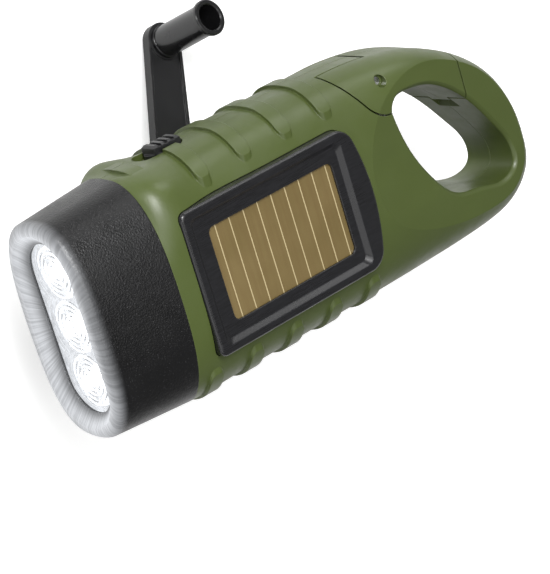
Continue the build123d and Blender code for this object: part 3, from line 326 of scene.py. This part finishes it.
def sparkling_head():
    """Black moulded head: coarse grain with painted glints, and lamp light spilling over the front rim."""
    s = moulded("head_black", srgb(9, 9, 10), 0.33, grain=2.4, grain_height=0.00022,
                spread=0.18, worn=srgb(52, 52, 52))
    x, y, z = s.axes()
    glitter = s.cells(2.6)
    spot = s.ramp(glitter.outputs["Distance"], 0.0, 0.26, 1.0, 0.0)
    tint = s.add("ShaderNodeSeparateXYZ")
    s.feed(tint.inputs[0], glitter.outputs["Color"])
    rare = s.ramp(tint.outputs[0], 0.62, 0.9)
    plain = s.principled.inputs["Base Color"].links[0].from_socket
    # Painted glints: scattered cells of the grain get a lighter grey colour, standing in for light catching the
    # grain.
    painted_glints = s.math("MULTIPLY", s.math("MULTIPLY", spot, rare), 0.6)
    s.set("Base Color", s.mix(painted_glints, plain, srgb(128, 128, 130)))
    front = s.ramp(x, 0.2, 3.4, 1.0, 0.0)
    over = s.math("MAXIMUM", s.math("SUBTRACT", s.math("ABSOLUTE", y), LED_PITCH), 0.0)
    away = s.math("SQRT", s.math("ADD", s.math("POWER", over, 2.0), s.math("POWER", z, 2.0)))
    around = s.math("ARCTAN2", z, s.math("MULTIPLY", y, 0.6))
    streaks = s.add("ShaderNodeTexNoise", noise_dimensions="2D")
    polar = s.add("ShaderNodeCombineXYZ")
    s.feed(polar.inputs[0], s.math("MULTIPLY", around, 22.0))
    s.feed(polar.inputs[1], s.math("MULTIPLY", away, 0.08))
    s.feed(streaks.inputs["Vector"], polar.outputs[0])
    streaks.inputs["Scale"].default_value = 1.6
    streaks.inputs["Detail"].default_value = 4.0
    fall = s.ramp(away, 8.0, 14.6, 1.0, 0.2)
    rays = s.ramp(streaks.outputs["Fac"], 0.3, 0.7, 0.72, 1.0)
    spill = s.math("MULTIPLY", s.math("MULTIPLY", front, fall), rays)
    s.set("Emission Color", srgb(244, 247, 252))
    s.set("Emission Strength", s.math("MULTIPLY", spill, 0.9))
    return s


head_black = sparkling_head()
frame_black = brushed_frame()
solar_amber = amber_cell()
reflector_bright_painted_glow = metallised()
clear_lens = lens_clear()
lit_lamp = lamp_clear()

FINISH = {
    "solar_side_shell": green, "crank_side_shell": green, "gate_solar_half": green, "gate_crank_half": green,
    "head_bezel": head_black, "front_lens": clear_lens, "reflector": reflector_bright_painted_glow,
    "led_left": lit_lamp, "led_centre": lit_lamp, "led_right": lit_lamp, "led_board": board_green,
    "solar_frame": frame_black, "solar_cell": solar_amber,
    "gate_pin": bright_steel, "gate_spring": drawn_wire, "switch_slider": switch_black, "slide_switch": zinc,
    "crank_hub": arm_black, "crank_bush": grey_plastic, "drive_shaft": bright_steel, "drive_gear": gear_white,
    "shaft_clip": drawn_wire, "crank_arm": arm_black, "arm_hinge_pin": bright_steel, "crank_knob": knob_black,
    "knob_screw": bright_steel, "first_gear": gear_white, "first_axle": bright_steel,
    "second_gear": gear_white, "second_axle": bright_steel, "gear_plate": grey_plastic, "plate_screws": bright_steel,
    "generator_can": zinc, "generator_stator": copper, "generator_rotor": magnet, "rotor_shaft": bright_steel,
    "rotor_pinion": cut_brass, "battery": battery_wrap, "main_board": board_green,
    "board_screws": bright_steel, "shell_screws": bright_steel,
}
for name, shader in FINISH.items():
    data = nodes[name].data
    data.materials.clear()
    data.materials.append(shader.material)


# ------------------------------------------------------------------ floor and light
FLOOR_REACH = 3


def floor():
    """A pale sheet that is seen from above only, so that views from below aren't blocked."""
    mesh = bpy.data.meshes.new("floor")
    signs = ((-1, -1), (1, -1), (1, 1), (-1, 1))
    corners = [(a * FLOOR_REACH, b * FLOOR_REACH, 0) for a, b in signs]
    mesh.from_pydata(corners, [], [(0, 1, 2, 3)])
    obj = bpy.data.objects.new("floor", mesh)
    bpy.context.collection.objects.link(obj)
    s = Shader("floor_paper")
    s.set("Base Color", (0.86, 0.86, 0.86, 1.0))
    s.set("Roughness", 0.9)
    s.set("Specular IOR Level", 0.2)
    seen = s.add("ShaderNodeLightPath").outputs["Is Camera Ray"]
    s.set("Emission Color", (1.0, 1.0, 1.0, 1.0))
    s.set("Emission Strength", s.math("MULTIPLY", seen, 0.55))
    clear = s.add("ShaderNodeBsdfTransparent")
    one_sided = s.add("ShaderNodeMixShader")
    s.feed(one_sided.inputs[0], s.add("ShaderNodeNewGeometry").outputs["Backfacing"])
    s.feed(one_sided.inputs[1], s.principled.outputs[0])
    s.feed(one_sided.inputs[2], clear.outputs[0])
    s.feed(s.tree.nodes["Material Output"].inputs["Surface"], one_sided.outputs[0])
    mesh.materials.append(s.material)


LIGHT_TARGET = Vector((0, 0, 0.03))


def area_light(name, position, size, power):
    """A white rectangular light, aimed at the middle of the torch."""
    data = bpy.data.lights.new(name, "AREA")
    data.shape = "RECTANGLE"
    data.size, data.size_y = size
    data.energy = power
    obj = bpy.data.objects.new(name, data)
    bpy.context.collection.objects.link(obj)
    obj.location = position
    obj.rotation_euler = (LIGHT_TARGET - Vector(position)).to_track_quat("-Z", "Y").to_euler()


floor()
area_light("key", (-0.25, 0.55, 0.75), (0.3, 0.45), 8.4)
area_light("fill", (-0.75, -0.35, 0.6), (0.8, 0.6), 1.8)
area_light("rim", (0.5, 0.7, 0.35), (0.5, 0.3), 1.6)
area_light("overhead", (-0.15, 0.1, 0.95), (0.7, 0.6), 3.0)

ROOM_LIGHT = 0.22


def studio():
    """Dim even light from the room, with white behind the torch where the camera sees it straight."""
    world = bpy.data.worlds.new("studio")
    bpy.context.scene.world = world
    world.use_nodes = True
    tree = world.node_tree
    room = tree.nodes["Background"]
    room.inputs["Color"].default_value = (1.0, 1.0, 1.0, 1.0)
    room.inputs["Strength"].default_value = ROOM_LIGHT
    paper = tree.nodes.new("ShaderNodeBackground")
    paper.inputs["Strength"].default_value = 1.0
    seen_straight = tree.nodes.new("ShaderNodeLightPath").outputs["Is Camera Ray"]
    either = tree.nodes.new("ShaderNodeMixShader")
    for output, socket in zip((seen_straight, room.outputs[0], paper.outputs[0]), either.inputs):
        tree.links.new(output, socket)
    tree.links.new(either.outputs[0], tree.nodes["World Output"].inputs["Surface"])


studio()

# ------------------------------------------------------------------ camera
RIGHT = Vector((0.729, -0.278, 0.625))
DOWN = Vector((-0.416, -0.906, 0.083))
FORWARD = RIGHT.cross(DOWN).normalized()
DOWN = FORWARD.cross(RIGHT).normalized()
RIGHT = RIGHT.normalized()
EYE = place(-274.7, 180.5, 473.1)
SENSOR_WIDTH_MM = 36
FOCAL_LENGTH_MM = 170.3

camera_data = bpy.data.cameras.new("camera")
camera_data.sensor_width = SENSOR_WIDTH_MM
camera_data.lens = FOCAL_LENGTH_MM
camera = bpy.data.objects.new("camera", camera_data)
bpy.context.collection.objects.link(camera)
turned = Matrix((RIGHT, -DOWN, -FORWARD)).transposed().to_4x4()
camera.matrix_world = Matrix.Translation(EYE) @ turned
bpy.context.scene.camera = camera
bpy.context.scene.view_settings.view_transform = "Standard"
